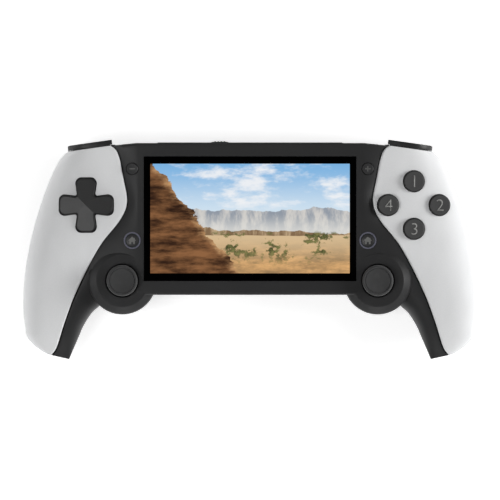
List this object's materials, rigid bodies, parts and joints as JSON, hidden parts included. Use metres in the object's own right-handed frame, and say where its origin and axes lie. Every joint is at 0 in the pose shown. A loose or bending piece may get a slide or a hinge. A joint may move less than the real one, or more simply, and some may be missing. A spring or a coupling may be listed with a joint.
{
  "type": "handheld game console",
  "caption": "Handheld game console: wide screen between two gamepad grips with pale covers, cross pad, round buttons, thumb sticks and shoulder buttons.",
  "frame": {"origin": "centre of the bounding box in plan, on the surface that the grips lie on", "axes": "+X to the player's right, +Y towards the shoulder buttons, +Z out of the screen"},
  "size_m": [0.2198, 0.1062, 0.0424],
  "materials": {
    "dark_shell": "fine moulded grain, charcoal",
    "rear_shell": "fine moulded grain, black",
    "pale_cover": "satin white moulding",
    "screen_glass": "polished glass with a black printed border",
    "display": "display panel",
    "steel": "stamped",
    "ribbon": "flexible film",
    "circuit_board": "lacquered board",
    "chips": "moulded",
    "battery": "wrapped pouch",
    "inner_plastic": "plain moulded",
    "key_plastic": "satin moulded keys",
    "silicone": "soft silicone",
    "light_ring": "frosted light guide",
    "stick_rubber": "soft-touch rubber",
    "trigger_plastic": "satin moulded"
  },
  "bodies": {
    "console_body": {"front_frame": "dark_shell", "rear_shell": "rear_shell", "left_grip_cover": "pale_cover", "right_grip_cover": "pale_cover", "screen_glass": "screen_glass", "lcd_panel": "display", "display_tray": "steel", "display_ribbon": "ribbon", "main_board": "circuit_board", "board_chips": "chips", "battery": "battery", "left_speaker": "inner_plastic", "right_speaker": "inner_plastic", "usb_socket": "steel", "headphone_jack": "inner_plastic", "card_slot": "steel", "power_switch": "steel", "dpad_membrane": "silicone", "dpad_board": "circuit_board", "face_membrane": "silicone", "face_board": "circuit_board", "left_light_ring": "light_ring", "right_light_ring": "light_ring", "left_strip_board": "circuit_board", "right_strip_board": "circuit_board", "tact_switches": "steel", "left_stick_base": "inner_plastic", "right_stick_base": "inner_plastic", "left_shoulder_bracket": "inner_plastic", "right_shoulder_bracket": "inner_plastic", "shoulder_pins": "steel", "case_screws": "steel", "board_screws": "steel"},
    "power_slider": {"power_slider": "inner_plastic"},
    "dpad": {"dpad": "key_plastic"},
    "dpad_pivot": {"dpad_pivot": "steel"},
    "north_button": {"north_button": "key_plastic"},
    "east_button": {"east_button": "key_plastic"},
    "south_button": {"south_button": "key_plastic"},
    "west_button": {"west_button": "key_plastic"},
    "minus_button": {"minus_button": "key_plastic"},
    "plus_button": {"plus_button": "key_plastic"},
    "left_home_button": {"left_home_button": "key_plastic"},
    "right_home_button": {"right_home_button": "key_plastic"},
    "left_bumper": {"left_bumper": "trigger_plastic"},
    "right_bumper": {"right_bumper": "trigger_plastic"},
    "left_trigger": {"left_trigger": "trigger_plastic"},
    "right_trigger": {"right_trigger": "trigger_plastic"},
    "left_stick_carrier": {"left_stick_carrier": "steel"},
    "left_stick_yoke": {"left_stick_yoke": "inner_plastic"},
    "left_stick_cap": {"left_stick_cap": "stick_rubber"},
    "right_stick_carrier": {"right_stick_carrier": "steel"},
    "right_stick_yoke": {"right_stick_yoke": "inner_plastic"},
    "right_stick_cap": {"right_stick_cap": "stick_rubber"}
  },
  "joints": [
    {"name": "north_press", "type": "slide", "parent": "console_body", "child": "north_button", "axis": [-0.1059, 0, -0.9944], "range_m": [0, 0.0012], "stiffness_N_per_m": 900},
    {"name": "east_press", "type": "slide", "parent": "console_body", "child": "east_button", "axis": [-0.1059, 0, -0.9944], "range_m": [0, 0.0012], "stiffness_N_per_m": 900},
    {"name": "south_press", "type": "slide", "parent": "console_body", "child": "south_button", "axis": [-0.1059, 0, -0.9944], "range_m": [0, 0.0012], "stiffness_N_per_m": 900},
    {"name": "west_press", "type": "slide", "parent": "console_body", "child": "west_button", "axis": [-0.1059, 0, -0.9944], "range_m": [0, 0.0012], "stiffness_N_per_m": 900},
    {"name": "dpad_up_down", "type": "hinge", "parent": "console_body", "child": "dpad_pivot", "pos_m": [-0.07876, 0.0215, 0.03048], "axis": [0.9944, 0, 0.1059], "range_deg": [-2.3, 2.3], "stiffness_Nm_per_rad": 0.15},
    {"name": "dpad_left_right", "type": "hinge", "parent": "dpad_pivot", "child": "dpad", "pos_m": [-0.07876, 0.0215, 0.03048], "axis": [0, 1, 0], "range_deg": [-2.3, 2.3], "stiffness_Nm_per_rad": 0.15},
    {"name": "minus_press", "type": "slide", "parent": "console_body", "child": "minus_button", "axis": [0, 0, -1], "range_m": [0, 0.0005], "stiffness_N_per_m": 1600},
    {"name": "plus_press", "type": "slide", "parent": "console_body", "child": "plus_button", "axis": [0, 0, -1], "range_m": [0, 0.0005], "stiffness_N_per_m": 1600},
    {"name": "left_home_press", "type": "slide", "parent": "console_body", "child": "left_home_button", "axis": [0, 0, -1], "range_m": [0, 0.0005], "stiffness_N_per_m": 1600},
    {"name": "right_home_press", "type": "slide", "parent": "console_body", "child": "right_home_button", "axis": [0, 0, -1], "range_m": [0, 0.0005], "stiffness_N_per_m": 1600},
    {"name": "power_slide", "type": "slide", "parent": "console_body", "child": "power_slider", "axis": [1, 0, 0], "range_m": [0, 0.003]},
    {"name": "left_stick_press", "type": "slide", "parent": "console_body", "child": "left_stick_carrier", "axis": [0, 0, -1], "range_m": [0, 0.0004], "stiffness_N_per_m": 6000},
    {"name": "left_stick_up_down", "type": "hinge", "parent": "left_stick_carrier", "child": "left_stick_yoke", "pos_m": [-0.0617, -0.015, 0.031], "axis": [1, 0, 0], "range_deg": [-13, 13], "stiffness_Nm_per_rad": 0.04},
    {"name": "left_stick_left_right", "type": "hinge", "parent": "left_stick_yoke", "child": "left_stick_cap", "pos_m": [-0.0617, -0.015, 0.031], "axis": [0, 1, 0], "range_deg": [-13, 13], "stiffness_Nm_per_rad": 0.04},
    {"name": "left_bumper_press", "type": "hinge", "parent": "console_body", "child": "left_bumper", "pos_m": [-0.06924, 0.04673, 0.026], "axis": [0, 0, 1], "range_deg": [0, 1.5], "stiffness_Nm_per_rad": 0.5},
    {"name": "left_trigger_pull", "type": "hinge", "parent": "console_body", "child": "left_trigger", "pos_m": [-0.0746, 0.04316, 0.019], "axis": [-0.9906, -0.1368, 0], "range_deg": [0, 12], "stiffness_Nm_per_rad": 0.12},
    {"name": "right_stick_press", "type": "slide", "parent": "console_body", "child": "right_stick_carrier", "axis": [0, 0, -1], "range_m": [0, 0.0004], "stiffness_N_per_m": 6000},
    {"name": "right_stick_up_down", "type": "hinge", "parent": "right_stick_carrier", "child": "right_stick_yoke", "pos_m": [0.0617, -0.015, 0.031], "axis": [1, 0, 0], "range_deg": [-13, 13], "stiffness_Nm_per_rad": 0.04},
    {"name": "right_stick_left_right", "type": "hinge", "parent": "right_stick_yoke", "child": "right_stick_cap", "pos_m": [0.0617, -0.015, 0.031], "axis": [0, 1, 0], "range_deg": [-13, 13], "stiffness_Nm_per_rad": 0.04},
    {"name": "right_bumper_press", "type": "hinge", "parent": "console_body", "child": "right_bumper", "pos_m": [0.06924, 0.04673, 0.026], "axis": [0, 0, -1], "range_deg": [0, 1.5], "stiffness_Nm_per_rad": 0.5},
    {"name": "right_trigger_pull", "type": "hinge", "parent": "console_body", "child": "right_trigger", "pos_m": [0.0746, 0.04316, 0.019], "axis": [-0.9906, 0.1368, 0], "range_deg": [0, 12], "stiffness_Nm_per_rad": 0.12}
  ]
}
